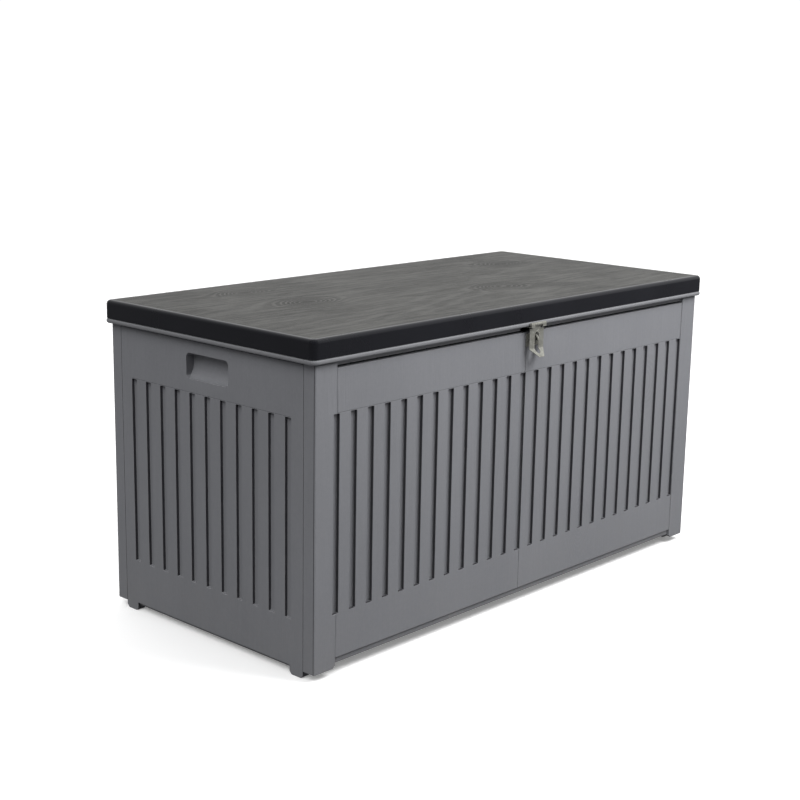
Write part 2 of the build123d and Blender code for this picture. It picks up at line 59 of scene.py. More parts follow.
def startGroup(name, inputs, outputs):
    group = bpy.data.node_groups.new(name, "ShaderNodeTree")
    for label, kind, value in inputs:
        socket = group.interface.new_socket(label, in_out="INPUT", socket_type="NodeSocket" + kind)
        if value is not None:
            socket.default_value = value
    for label, kind in outputs:
        group.interface.new_socket(label, in_out="OUTPUT", socket_type="NodeSocket" + kind)
    start = addNode(group, "NodeGroupInput", -1200, 0)
    end = addNode(group, "NodeGroupOutput", 900, 0)
    return group, start, end


def useGroup(tree, group, x, y, **values):
    node = addNode(tree, "ShaderNodeGroup", x, y, node_tree=group)
    for key, value in values.items():
        node.inputs[key].default_value = value
    return node


def mathNode(tree, operation, x, y, first, second=None, third=None, clamp=False):
    node = addNode(tree, "ShaderNodeMath", x, y, operation=operation, use_clamp=clamp)
    for slot, value in enumerate((first, second, third)):
        if value is None:
            continue
        if isinstance(value, (int, float)):
            node.inputs[slot].default_value = value
        else:
            tree.links.new(value, node.inputs[slot])
    return node.outputs[0]


def stretched(tree, vector, x, y, scale):
    node = addNode(tree, "ShaderNodeMapping", x, y, {"Scale": scale})
    tree.links.new(vector, node.inputs["Vector"])
    return node.outputs[0]


def noise(tree, vector, x, y, scale, detail, roughness):
    settings = {"Scale": scale, "Detail": detail, "Roughness": roughness}
    node = addNode(tree, "ShaderNodeTexNoise", x, y, settings)
    tree.links.new(vector, node.inputs["Vector"])
    return node.outputs[0]


def remap(tree, value, x, y, fromLow, fromHigh, toLow, toHigh):
    settings = {"From Min": fromLow, "From Max": fromHigh, "To Min": toLow, "To Max": toHigh}
    node = addNode(tree, "ShaderNodeMapRange", x, y, settings)
    tree.links.new(value, node.inputs["Value"])
    return node.outputs[0]


def mixColour(tree, factor, x, y, first, second):
    node = addNode(tree, "ShaderNodeMix", x, y, data_type="RGBA")
    for socket, value in ((node.inputs[0], factor), (node.inputs[6], first), (node.inputs[7], second)):
        if isinstance(value, tuple):
            socket.default_value = (*value, 1.0)
        elif isinstance(value, float):
            socket.default_value = value
        else:
            tree.links.new(value, socket)
    return node.outputs[2]


# fine spark-eroded mould texture, with broad flow marks in the tone
def makeMouldGrain():
    tree, start, end = startGroup(
        "mouldGrain",
        [("Vector", "Vector", None), ("Grain", "Float", 900.0), ("Flow", "Float", 4.0)],
        [("Height", "Float"), ("Mottle", "Float"), ("Flow", "Float")],
    )
    vector = start.outputs["Vector"]
    coarse = addNode(tree, "ShaderNodeTexNoise", -800, 200, {"Detail": 3.0, "Roughness": 0.6})
    pits = addNode(tree, "ShaderNodeTexVoronoi", -800, -80, feature="SMOOTH_F1")
    for target in (coarse, pits):
        tree.links.new(vector, target.inputs["Vector"])
        tree.links.new(start.outputs["Grain"], target.inputs["Scale"])
    rough = mathNode(tree, "MULTIPLY", -500, 200, coarse.outputs[0], 0.65)
    pit = mathNode(tree, "MULTIPLY", -500, 0, pits.outputs["Distance"], 0.5)
    height = mathNode(tree, "ADD", -250, 100, rough, pit)
    tree.links.new(height, end.inputs["Height"])
    broad = addNode(tree, "ShaderNodeTexNoise", -800, -380, {"Detail": 4.0, "Roughness": 0.55})
    tree.links.new(stretched(tree, vector, -1000, -380, (1.0, 1.0, 0.45)), broad.inputs["Vector"])
    tree.links.new(start.outputs["Flow"], broad.inputs["Scale"])
    tree.links.new(remap(tree, broad.outputs[0], -500, -380, 0.3, 0.7, 0.0, 1.0), end.inputs["Flow"])
    speck = noise(tree, vector, -800, -620, 160.0, 3.0, 0.65)
    tree.links.new(remap(tree, speck, -500, -620, 0.35, 0.65, 0.0, 1.0), end.inputs["Mottle"])
    return tree


# rubbed edges: bevelled faces carry the edge value, broken up by noise
def makeEdgeWear():
    tree, start, end = startGroup(
        "edgeWear",
        [("Vector", "Vector", None), ("Edge", "Float", 0.0), ("Amount", "Float", 0.6)],
        [("Wear", "Float")],
    )
    patches = noise(tree, start.outputs["Vector"], -800, 100, 22.0, 5.0, 0.7)
    broken = remap(tree, patches, -550, 100, 0.38, 0.62, 0.25, 1.0)
    masked = mathNode(tree, "MULTIPLY", -300, 100, broken, start.outputs["Edge"])
    wear = mathNode(tree, "MULTIPLY", -50, 100, masked, start.outputs["Amount"], clamp=True)
    tree.links.new(wear, end.inputs["Wear"])
    return tree


# thin settled dust and splash marks, strongest near the ground
def makeDust():
    tree, start, end = startGroup(
        "groundDust",
        [("Vector", "Vector", None), ("Reach", "Float", 0.16), ("Amount", "Float", 0.3)],
        [("Dust", "Float")],
    )
    split = addNode(tree, "ShaderNodeSeparateXYZ", -1000, 200)
    tree.links.new(start.outputs["Vector"], split.inputs[0])
    rise = mathNode(tree, "DIVIDE", -800, 200, split.outputs["Z"], start.outputs["Reach"])
    fade = mathNode(tree, "SUBTRACT", -600, 200, 1.0, rise, clamp=True)
    clouds = noise(tree, start.outputs["Vector"], -800, -50, 14.0, 6.0, 0.65)
    spots = noise(tree, start.outputs["Vector"], -800, -250, 240.0, 2.0, 0.5)
    cloudy = remap(tree, clouds, -550, -50, 0.35, 0.7, 0.1, 1.0)
    spotty = remap(tree, spots, -550, -250, 0.5, 0.72, 0.35, 1.0)
    soft = mathNode(tree, "MULTIPLY", -300, 50, fade, cloudy)
    both = mathNode(tree, "MULTIPLY", -100, 0, soft, spotty)
    dust = mathNode(tree, "MULTIPLY", 100, 0, both, start.outputs["Amount"], clamp=True)
    tree.links.new(dust, end.inputs["Dust"])
    return tree


# embossed timber figure: contour lines of a stretched field, ringed round a few knots
lidFigure = {
    # each knot: across, back and reach
    "knots": (
        (-0.306, 0.012, 0.034),
        (-0.322, 0.171, 0.030),
        (0.118, -0.092, 0.032),
        (0.372, 0.118, 0.034),
    ),
    "rings": 24.0,
    "knotRings": 0.26,
    "knotContrast": 1.4,
    "stretchX": 0.55,
    "stretchY": 5.2,
    "fibreX": 7.0,
    "fibreY": 520.0,
}


def makeTimberFigure(figure):
    tree, start, end = startGroup(
        "timberFigure",
        [("Vector", "Vector", None)],
        [("Height", "Float"), ("Tone", "Float")],
    )
    vector = start.outputs["Vector"]
    split = addNode(tree, "ShaderNodeSeparateXYZ", -1000, 300)
    tree.links.new(vector, split.inputs[0])
    field = noise(tree, stretched(tree, vector, -1000, 0, (figure["stretchX"], figure["stretchY"], 1.0)),
                  -800, 0, 1.0, 2.5, 0.45)
    sway = noise(tree, stretched(tree, vector, -1000, -200, (3.0, 22.0, 1.0)), -800, -200, 1.0, 2.0, 0.5)
    total = mathNode(tree, "MULTIPLY_ADD", -600, 0, sway, 0.045, field)
    knots = None
    for row, (knotX, knotY, reach) in enumerate(figure["knots"]):
        level = -420 - 200 * row
        acrossX = mathNode(tree, "SUBTRACT", -900, level, split.outputs["X"], knotX)
        acrossY = mathNode(tree, "SUBTRACT", -900, level - 80, split.outputs["Y"], knotY)
        squareX = mathNode(tree, "MULTIPLY", -740, level, acrossX, acrossX)
        squareY = mathNode(tree, "MULTIPLY", -740, level - 80, acrossY, acrossY)
        spread = mathNode(tree, "MULTIPLY_ADD", -580, level, squareX, 0.45, squareY)
        scaled = mathNode(tree, "DIVIDE", -420, level, spread, -reach * reach)
        swell = mathNode(tree, "EXPONENT", -260, level, scaled)
        knots = swell if knots is None else mathNode(tree, "ADD", -100, level - 80, knots, swell)
        total = mathNode(tree, "MULTIPLY_ADD", -100, level, swell, figure["knotRings"], total)
    phase = mathNode(tree, "MULTIPLY", 60, 0, total, figure["rings"] * 2 * math.pi)
    rings = mathNode(tree, "SINE", 220, 0, phase)
    ridge = remap(tree, rings, 380, 0, -0.2, 1.0, 0.0, 1.0)
    fibre = noise(tree, stretched(tree, vector, -1000, 500, (figure["fibreX"], figure["fibreY"], 1.0)),
                  -800, 500, 1.0, 3.0, 0.6)
    pores = noise(tree, stretched(tree, vector, -1000, 700, (26.0, 380.0, 1.0)), -800, 700, 1.0, 2.0, 0.5)
    cut = remap(tree, pores, -550, 700, 0.52, 0.66, 0.0, 1.0)
    grain = mathNode(tree, "MULTIPLY", 380, 300, fibre, 0.9)
    relief = mathNode(tree, "MULTIPLY_ADD", 540, 100, ridge, 0.42, grain)
    tree.links.new(mathNode(tree, "MULTIPLY_ADD", 700, 200, cut, -0.55, relief), end.inputs["Height"])
    fibreTone = mathNode(tree, "MULTIPLY", 380, 500, fibre, 0.95)
    tone = mathNode(tree, "MULTIPLY_ADD", 540, -100, ridge, 0.22, fibreTone)
    ringed = mathNode(tree, "SUBTRACT", 540, -250, ridge, 0.75)
    contrast = mathNode(tree, "MULTIPLY", 560, -350, knots, figure["knotContrast"])
    knotted = mathNode(tree, "MULTIPLY", 620, -250, contrast, ringed)
    toned = mathNode(tree, "ADD", 660, -180, tone, knotted)
    finished = mathNode(tree, "MULTIPLY_ADD", 700, -100, cut, -0.3, toned, clamp=True)
    tree.links.new(finished, end.inputs["Tone"])
    return tree


# mottled zinc plating with fine rubbing marks
def makePlating():
    tree, start, end = startGroup(
        "zincPlating",
        [("Vector", "Vector", None), ("Spangle", "Float", 260.0)],
        [("Tone", "Float"), ("Height", "Float"), ("Stain", "Float")],
    )
    vector = start.outputs["Vector"]
    flakes = addNode(tree, "ShaderNodeTexVoronoi", -800, 200, feature="F1")
    tree.links.new(vector, flakes.inputs["Vector"])
    tree.links.new(start.outputs["Spangle"], flakes.inputs["Scale"])
    flakeTone = addNode(tree, "ShaderNodeSeparateColor", -550, 200)
    tree.links.new(flakes.outputs["Color"], flakeTone.inputs[0])
    rubbed = noise(tree, stretched(tree, vector, -1000, -50, (60.0, 60.0, 900.0)), -800, -50, 1.0, 3.0, 0.6)
    tone = mathNode(tree, "MULTIPLY_ADD", -300, 150, flakeTone.outputs[0], 0.45,
                    mathNode(tree, "MULTIPLY", -500, -50, rubbed, 0.55))
    tree.links.new(tone, end.inputs["Tone"])
    tree.links.new(rubbed, end.inputs["Height"])
    stain = noise(tree, vector, -800, -300, 45.0, 5.0, 0.7)
    tree.links.new(remap(tree, stain, -550, -300, 0.52, 0.7, 0.0, 1.0), end.inputs["Stain"])
    return tree


mouldGrain = makeMouldGrain()
edgeWear = makeEdgeWear()
groundDust = makeDust()
timberFigure = makeTimberFigure(lidFigure)
zincPlating = makePlating()
print("surface effects built")


def startMaterial(name, look):
    material = bpy.data.materials.new(name)
    material.use_nodes = True
    tree = material.node_tree
    tree.nodes.clear()
    shader = addNode(tree, "ShaderNodeBsdfPrincipled", 900, 0)
    for socket, value in look["shader"].items():
        shader.inputs[socket].default_value = value
    output = addNode(tree, "ShaderNodeOutputMaterial", 1200, 0)
    tree.links.new(shader.outputs[0], output.inputs[0])
    place = addNode(tree, "ShaderNodeTexCoord", -1200, 0).outputs["Object"]
    return material, tree, shader, place


def addBump(tree, shader, height, distance):
    bump = addNode(tree, "ShaderNodeBump", 650, -400, {"Strength": 1.0, "Distance": distance})
    tree.links.new(height, bump.inputs["Height"])
    tree.links.new(bump.outputs[0], shader.inputs["Normal"])


def makePlastic(name, look):
    material, tree, shader, place = startMaterial(name, look)
    grain = useGroup(tree, mouldGrain, -900, 0, Grain=look["grain"], Flow=look["flow"])
    wear = useGroup(tree, edgeWear, -900, -300, Amount=look["wear"])
    dust = useGroup(tree, groundDust, -900, -600, Amount=look["dust"], Reach=look["dustReach"])
    for group in (grain, wear, dust):
        tree.links.new(place, group.inputs["Vector"])
    edge = addNode(tree, "ShaderNodeAttribute", -1200, -300, attribute_name="edge")
    tree.links.new(edge.outputs["Fac"], wear.inputs["Edge"])
    # the recess value marks faces that get painted shade: groove walls and ends, joints, sunk lines and the
    # pocket
    recess = addNode(tree, "ShaderNodeAttribute", -1200, -500, attribute_name="recess")
    toned = mixColour(tree, grain.outputs["Flow"], -600, 200, look["dark"], look["light"])
    specked = mixColour(tree, mathNode(tree, "MULTIPLY", -600, 0, grain.outputs["Mottle"], look["mottle"]),
                        -400, 200, toned, look["speck"])
    height = grain.outputs["Height"]
    if look["timber"]:
        # upright timber figure: the pattern's length runs up the wall, its width along it
        split = addNode(tree, "ShaderNodeSeparateXYZ", -1400, 400)
        tree.links.new(place, split.inputs[0])
        along = mathNode(tree, "ADD", -1250, 400, split.outputs["X"], split.outputs["Y"])
        upright = addNode(tree, "ShaderNodeCombineXYZ", -1100, 400)
        tree.links.new(split.outputs["Z"], upright.inputs["X"])
        tree.links.new(along, upright.inputs["Y"])
        wood = useGroup(tree, timberFigure, -900, 400)
        tree.links.new(upright.outputs[0], wood.inputs["Vector"])
        pale = mathNode(tree, "SUBTRACT", -600, 400, 1.0, wood.outputs["Tone"])
        specked = mixColour(tree, mathNode(tree, "MULTIPLY", -450, 400, pale, look["timber"]), -300, 350,
                            specked, look["grainDark"])
        height = mathNode(tree, "MULTIPLY_ADD", 400, -400, wood.outputs["Height"],
                          look["timberRelief"], height)
    # painted shade: marked faces are darkened towards the painted shade colour
    withPaintedShade = mixColour(tree, mathNode(tree, "MULTIPLY", -600, -150, recess.outputs["Fac"], look["recess"]),
                       -200, 200, specked, look["paintedShadeColour"])
    rubbed = mixColour(tree, wear.outputs["Wear"], 0, 200, withPaintedShade, look["worn"])
    dusty = mixColour(tree, dust.outputs["Dust"], 200, 200, rubbed, look["dustColour"])
    tree.links.new(dusty, shader.inputs["Base Color"])
    sheen = remap(tree, grain.outputs["Flow"], -400, -100, 0.0, 1.0, look["rough"][0], look["rough"][1])
    duller = mathNode(tree, "MULTIPLY_ADD", -200, -100, dust.outputs["Dust"], 0.3, sheen)
    polished = mathNode(tree, "MULTIPLY_ADD", 0, -100, wear.outputs["Wear"], -0.12, duller, clamp=True)
    tree.links.new(polished, shader.inputs["Roughness"])
    addBump(tree, shader, height, look["relief"])
    return material


bodyLook = {
    "shader": {"Specular IOR Level": 0.42},
    "light": (0.236, 0.240, 0.257),
    "dark": (0.207, 0.211, 0.227),
    "speck": (0.285, 0.288, 0.302),
    # painted shade colour for the marked faces in grooves, joints, sunk lines and the pocket
    "paintedShadeColour": (0.046, 0.046, 0.052),
    "worn": (0.340, 0.344, 0.358),
    "grainDark": (0.185, 0.188, 0.200),
    "dustColour": (0.290, 0.280, 0.262),
    "mottle": 0.16,
    # how strongly the painted shade is laid on
    "recess": 1.0,
    "wear": 0.45,
    "dust": 0.35,
    "dustReach": 0.15,
    "grain": 950.0,
    "flow": 3.2,
    "rough": (0.46, 0.58),
    "relief": 0.00006,
    "timber": 0.30,
    "timberRelief": 3.0,
}
trayLook = dict(
    bodyLook,
    light=(0.185, 0.188, 0.200),
    dark=(0.160, 0.163, 0.175),
    dust=0.6,
    rough=(0.55, 0.68),
    timber=0.0,
)
# the lid's rim: the body grey painted darker, as painted shade, since its upward face catches more light
rimShadedLook = dict(
    bodyLook,
    light=(0.205, 0.208, 0.220),
    dark=(0.185, 0.188, 0.198),
    dust=0.0,
    rough=(0.40, 0.50),
    timber=0.0,
)

greyBody = makePlastic("greyBodyPlastic", bodyLook)
greyTray = makePlastic("greyTrayPlastic", trayLook)
greyRimShaded = makePlastic("greyRimShadedPlastic", rimShadedLook)

lidLook = {
    "shader": {"Specular IOR Level": 0.40},
    "skirtLight": (0.0085, 0.0090, 0.0125),
    "skirtDark": (0.0060, 0.0063, 0.0088),
    "topLight": (0.061, 0.061, 0.0565),
    "topDark": (0.021, 0.021, 0.020),
    "worn": (0.075, 0.077, 0.082),
    "dustColour": (0.160, 0.158, 0.148),
    "topRough": (0.62, 0.50),
    "skirtRough": (0.24, 0.33),
    "border": 0.010,
    "borderSoft": 0.004,
    "topBand": 0.0022,
    "relief": 0.00055,
}


def makeLidPlastic(name, look):
    material, tree, shader, place = startMaterial(name, look)
    grain = useGroup(tree, mouldGrain, -900, 0, Grain=1400.0, Flow=5.0)
    wood = useGroup(tree, timberFigure, -900, -200)
    wear = useGroup(tree, edgeWear, -900, -400, Amount=0.5)
    for group in (grain, wood, wear):
        tree.links.new(place, group.inputs["Vector"])
    edge = addNode(tree, "ShaderNodeAttribute", -1200, -400, attribute_name="edge")
    tree.links.new(edge.outputs["Fac"], wear.inputs["Edge"])
    # the timber figure stops a little way inside the rounded border
    low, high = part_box("lid_shell")
    split = addNode(tree, "ShaderNodeSeparateXYZ", -1000, 500)
    tree.links.new(place, split.inputs[0])
    inset = look["border"] + look["borderSoft"]
    sides = []
    for axis, half, level in (("X", high.x, 600), ("Y", (high.y - low.y) / 2, 450)):
        middle = (low.x + high.x) / 2 if axis == "X" else (low.y + high.y) / 2
        offset = mathNode(tree, "SUBTRACT", -800, level, split.outputs[axis], middle)
        reach = mathNode(tree, "ABSOLUTE", -640, level, offset)
        sides.append(remap(tree, reach, -480, level, half - inset, half - look["border"], 1.0, 0.0))
    bandLow = high.z - look["topBand"]
    bandHigh = high.z - look["topBand"] / 3
    lifted = remap(tree, split.outputs["Z"], -480, 300, bandLow, bandHigh, 0.0, 1.0)
    flat = mathNode(tree, "MULTIPLY", -300, 500, sides[0], sides[1])
    onTop = mathNode(tree, "MULTIPLY", -140, 450, flat, lifted)
    topTone = mixColour(tree, wood.outputs["Tone"], -300, 200, look["topDark"], look["topLight"])
    skirtTone = mixColour(tree, grain.outputs["Flow"], -300, 0, look["skirtDark"], look["skirtLight"])
    both = mixColour(tree, onTop, 0, 150, skirtTone, topTone)
    film = noise(tree, place, -600, -700, 7.0, 5.0, 0.6)
    filmed = mathNode(tree, "MULTIPLY", -200, -600, remap(tree, film, -400, -700, 0.4, 0.7, 0.0, 0.16), onTop)
    dusty = mixColour(tree, filmed, 200, 150, both, look["dustColour"])
    rubbed = mixColour(tree, wear.outputs["Wear"], 400, 150, dusty, look["worn"])
    tree.links.new(rubbed, shader.inputs["Base Color"])
    topRough = remap(tree, wood.outputs["Tone"], -300, -200, 0.2, 0.8, *look["topRough"])
    skirtRough = remap(tree, grain.outputs["Flow"], -300, -350, 0.0, 1.0, *look["skirtRough"])
    gap = mathNode(tree, "SUBTRACT", 0, -200, topRough, skirtRough)
    rough = mathNode(tree, "MULTIPLY_ADD", 200, -200, gap, onTop, skirtRough)
    tree.links.new(rough, shader.inputs["Roughness"])
    woodHeight = mathNode(tree, "MULTIPLY", 200, -400, wood.outputs["Height"], onTop)
    height = mathNode(tree, "MULTIPLY_ADD", 400, -400, grain.outputs["Height"], 0.05, woodHeight)
    addBump(tree, shader, height, look["relief"])
    return material


blackLid = makeLidPlastic("blackLidPlastic", lidLook)

zincLook = {
    "shader": {"Metallic": 0.55},
    "light": (0.45, 0.45, 0.405),
    "dark": (0.26, 0.26, 0.232),
    "stain": (0.17, 0.16, 0.13),
    "stainAmount": 0.40,
    "spangle": 320.0,
    "rough": (0.30, 0.48),
    "wear": 0.7,
    "worn": (0.72, 0.71, 0.67),
    "relief": 0.00004,
}
screwLook = dict(zincLook, spangle=600.0, rough=(0.25, 0.42), light=(0.62, 0.61, 0.58))


def makeZinc(name, look):
    material, tree, shader, place = startMaterial(name, look)
    plating = useGroup(tree, zincPlating, -900, 0, Spangle=look["spangle"])
    wear = useGroup(tree, edgeWear, -900, -300, Amount=look["wear"])
    for group in (plating, wear):
        tree.links.new(place, group.inputs["Vector"])
    edge = addNode(tree, "ShaderNodeAttribute", -1200, -300, attribute_name="edge")
    tree.links.new(edge.outputs["Fac"], wear.inputs["Edge"])
    toned = mixColour(tree, plating.outputs["Tone"], -500, 200, look["dark"], look["light"])
    amount = mathNode(tree, "MULTIPLY", -500, 0, plating.outputs["Stain"], look["stainAmount"])
    stained = mixColour(tree, amount, -300, 200, toned, look["stain"])
    rubbed = mixColour(tree, wear.outputs["Wear"], 0, 200, stained, look["worn"])
    tree.links.new(rubbed, shader.inputs["Base Color"])
    bright, dull = look["rough"]
    rough = remap(tree, plating.outputs["Tone"], -300, -100, 0.2, 0.8, dull, bright)
    duller = mathNode(tree, "MULTIPLY_ADD", 0, -100, amount, 0.4, rough, clamp=True)
    tree.links.new(duller, shader.inputs["Roughness"])
    addBump(tree, shader, plating.outputs["Height"], look["relief"])
    return material


haspZinc = makeZinc("haspZinc", zincLook)
screwZinc = makeZinc("screwZinc", screwLook)
hingeZinc = makeZinc("hingeZinc", dict(zincLook, light=(0.50, 0.50, 0.49), dark=(0.27, 0.27, 0.265)))
print("materials built")


# a CAD part is welded, then its flat areas are made whole faces, ready to be rounded
weldDistance = 0.000004
flatAngle = math.radians(0.4)


def weldedMesh(nodeName):
    bm = bmesh.new()
    bm.from_mesh(nodes[nodeName].data)
    bmesh.ops.remove_doubles(bm, verts=bm.verts[:], dist=weldDistance)
    return bm


def mergedMesh(nodeName):
    bm = weldedMesh(nodeName)
    bmesh.ops.dissolve_limit(bm, angle_limit=flatAngle, verts=bm.verts[:], edges=bm.edges[:])
    # large faces with notches are split into convex ones, so that each fills cleanly
    bmesh.ops.connect_verts_concave(bm, faces=bm.faces[:])
    return bm


def finishPiece(bm, name, body, material):
    mesh = bpy.data.meshes.new(name)
    for face in bm.faces:
        face.smooth = True
    bm.to_mesh(mesh)
    bm.free()
    piece = bpy.data.objects.new(name, mesh)
    scene.collection.objects.link(piece)
    mesh.materials.append(material)
    evenNormals = piece.modifiers.new("evenNormals", "WEIGHTED_NORMAL")
    evenNormals.mode = "FACE_AREA"
    evenNormals.weight = 100
    evenNormals.keep_sharp = True
    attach(piece, body)
    return piece


# faces with their edges and corners, each once
def facesAndEdges(faces):
    found = []
    for f in faces:
        found += [f, *f.edges, *f.verts]
    return list(dict.fromkeys(found))


# a fine sunk line on a wall's outer face, darkened with painted shade: between two cuts across one axis,
# inside a reach along another
def scribeLine(bm, faceAxis, face, cutAxis, start, width, depth, alongAxis, reach, paintedShadeAmount):
    cut = Vector((0, 0, 0))
    cut[cutAxis] = 1.0
    for level in (start, start + width):
        everything = bm.verts[:] + bm.edges[:] + bm.faces[:]
        bmesh.ops.bisect_plane(bm, geom=everything, dist=0.000001, plane_co=cut * level, plane_no=cut)
    along = Vector((0, 0, 0))
    along[alongAxis] = 1.0

    def stripFaces():
        found = []
        for f in bm.faces:
            middle = f.calc_center_median()
            outer = abs(abs(middle[faceAxis]) - face) < 0.0001 and abs(f.normal[faceAxis]) > 0.99
            if outer and start < middle[cutAxis] < start + width:
                found.append(f)
        return found

    for level in reach:
        near = facesAndEdges(stripFaces())
        bmesh.ops.bisect_plane(bm, geom=near, dist=0.000001, plane_co=along * level, plane_no=along)
    strip = [f for f in stripFaces() if reach[0] < f.calc_center_median()[alongAxis] < reach[1]]
    if not strip:
        return
    # inward is towards the middle of the box, whichever face of the strip comes first
    inward = Vector((0, 0, 0))
    inward[faceAxis] = -math.copysign(1.0, strip[0].calc_center_median()[faceAxis])
    sunk = bmesh.ops.extrude_face_region(bm, geom=strip)
    bmesh.ops.delete(bm, geom=strip, context="FACES_ONLY")
    moved = [g for g in sunk["geom"] if isinstance(g, bmesh.types.BMVert)]
    bmesh.ops.translate(bm, verts=moved, vec=inward * depth)
    # the sunk faces get painted shade, as much as the line asks for
    paintedShadeLayer = bm.faces.layers.float["recess"]
    for g in sunk["geom"]:
        if isinstance(g, bmesh.types.BMFace):
            g[paintedShadeLayer] = paintedShadeAmount


smallFace = 0.00001  # square metres: smaller faces are bends and edges
wideFace = 0.02  # square metres: wider faces are never a groove's side


# the plate's front is pressed back, which leaves a rim along its outline and round its slot
def pressFront(bm, below, rim, depth):
    front = []
    for face in bm.faces:
        forward = face.normal.y < -0.9 and abs(face.normal.x) < 0.1
        if forward and face.calc_center_median().z < below and face.calc_area() > smallFace:
            front.append(face)
    bmesh.ops.inset_region(bm, faces=front, thickness=rim, depth=-depth,
                           use_even_offset=True, use_boundary=True)


# edges has the angle that counts as sharp, the rounding, the zones given painted shade (grooves, joints, the
# pocket), each as axis, low, high, face axis and shade, and the sunk lines
def roundedPiece(nodeName, name, body, material, edges):
    bm = mergedMesh(nodeName)
    before = len(bm.faces)
    limit = math.radians(edges["angle"])
    if "pressed" in edges:
        pressFront(bm, **edges["pressed"])
    sharp = [e for e in bm.edges if len(e.link_faces) == 2 and e.calc_face_angle() > limit]
    edgeLayer = bm.faces.layers.float.new("edge")
    paintedShadeLayer = bm.faces.layers.float.new("recess")
    # painted shade: small faces in each listed zone get that zone's shade
    for axis, low, high, faceAxis, shade in edges.get("dark", ()):
        for face in bm.faces:
            middle = face.calc_center_median()
            inside = low < abs(middle[axis]) < high
            if inside and abs(face.normal[faceAxis]) > 0.9 and face.calc_area() < wideFace:
                face[paintedShadeLayer] = shade
    made = bmesh.ops.bevel(bm, geom=sharp, offset=edges["round"], offset_type="OFFSET",
                           segments=edges["segments"], profile=0.5, affect="EDGES", material=-1,
                           clamp_overlap=False)
    for face in made["faces"]:
        face[edgeLayer] = 1.0
    for line in edges.get("lines", ()):
        scribeLine(bm, **line)
    print(f"  {name}: {before} faces, {len(sharp)} edges rounded")
    piece = finishPiece(bm, name, body, material)
    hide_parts(nodeName)


wallEdges = {"angle": 30, "round": 0.00045, "segments": 2}
# sunk lines, each with painted shade on its faces
fieldLine = {"width": 0.0009, "depth": 0.0004, "paintedShadeAmount": 0.55}
postLine = {"width": 0.0012, "depth": 0.0008, "paintedShadeAmount": 0.9}
longWall = {
    "step": 0.001,  # the post stands proud of the slats by this
    "grooveDepth": 0.0058,
    "postReturn": 0.0265,
    "postWidth": 0.0485,
    "postLineGap": 0.0003,
    "postLineTop": 0.53,
    "fieldTop": 0.4493,
    "fieldLow": 0.1072,
    # painted shade along the post's step
    "stepShade": 0.6,
}
endWall = {
    "grooveDepth": 0.0058,
    "fieldTop": 0.4407,
    "fieldHalf": 0.2085,
    "pocketHeight": 0.510,
    "pocketRise": 0.0095,
    "pocketHalf": 0.055,
    "pocketSlack": 0.001,
    # painted shade in the handle pocket
    "pocketShade": 0.45,
}
skin = 0.0002  # how far inside a face a groove or joint gets painted shade
jointSlack = 0.0003
boxLow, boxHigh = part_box("front_panel_left")
postX = abs(boxLow.x)
for nodeName in ("front_panel_left", "front_panel_right", "back_panel_left", "back_panel_right"):
    low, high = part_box(nodeName)
    postFace = max(abs(low.y), abs(high.y))
    face = postFace - longWall["step"]
    grooveBack = face - longWall["grooveDepth"] - skin
    # painted shade in the grooves, at their ends, along the post's step and in the post's joint
    grooves = (1, grooveBack, face - skin, 0, 1.0)
    ends = (1, grooveBack, face - skin, 2, 1.0)
    stepLine = (1, face, postFace, 0, longWall["stepShade"])
    postBack = postFace - longWall["postReturn"]
    gap = (1, postBack - jointSlack, postBack + jointSlack, 1, 1.0)
    inner = postX - longWall["postWidth"]
    onFace = {"faceAxis": 1, "face": face}
    lines = [dict(fieldLine, cutAxis=2, start=longWall["fieldTop"], alongAxis=0, reach=(-inner, inner),
                  **onFace)]
    if low.x < -postX / 2:
        nearPost = -inner + longWall["postLineGap"]
    else:
        nearPost = inner - longWall["postLineGap"] - postLine["width"]
    for reach in ((boxLow.z, longWall["fieldLow"]), (longWall["fieldTop"], longWall["postLineTop"])):
        lines.append(dict(postLine, cutAxis=0, start=nearPost, alongAxis=2, reach=reach, **onFace))
    edges = dict(wallEdges, dark=(grooves, ends, stepLine, gap), lines=lines)
    wall, _, side = nodeName.split("_")
    roundedPiece(nodeName, wall + "Wall" + side.title(), "box", greyBody, edges)
for nodeName in ("side_panel_left", "side_panel_right"):
    low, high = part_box(nodeName)
    face = max(abs(low.x), abs(high.x))
    # painted shade in the grooves and in the joint at the back
    grooves = (0, face - endWall["grooveDepth"] + skin / 2, face - skin, 1, 1.0)
    gap = (1, high.y - jointSlack, high.y + jointSlack, 1, 1.0)
    half = endWall["fieldHalf"]
    line = dict(fieldLine, faceAxis=0, face=face, cutAxis=2, start=endWall["fieldTop"],
                alongAxis=1, reach=(-half, half))
    height, rise = endWall["pocketHeight"], endWall["pocketRise"]
    width, slack = endWall["pocketHalf"], endWall["pocketSlack"]
    # painted shade on the pocket's ceiling and side walls
    pocket = (
        (2, height - rise, height + rise, 2, endWall["pocketShade"]),
        (1, width - slack, width + slack, 1, endWall["pocketShade"]),
    )
    edges = dict(wallEdges, dark=(grooves, gap, *pocket), lines=[line])
    roundedPiece(nodeName, "endWall" + nodeName.split("_")[2].title(), "box", greyBody, edges)
print("body walls rounded")

shellEdges = {"angle": 30, "round": 0.0006, "segments": 2}
panEdges = {"angle": 30, "round": 0.0005, "segments": 2}
trayEdges = {"angle": 30, "round": 0.0005, "segments": 1}
roundedPiece("lid_shell", "lidTop", "lid", blackLid, shellEdges)
# the rim carries the body grey with painted shade
roundedPiece("lid_pan", "lidPan", "lid", greyRimShaded, panEdges)
roundedPiece("base_tray", "floorTray", "box", greyTray, trayEdges)
print("lid and tray rounded")

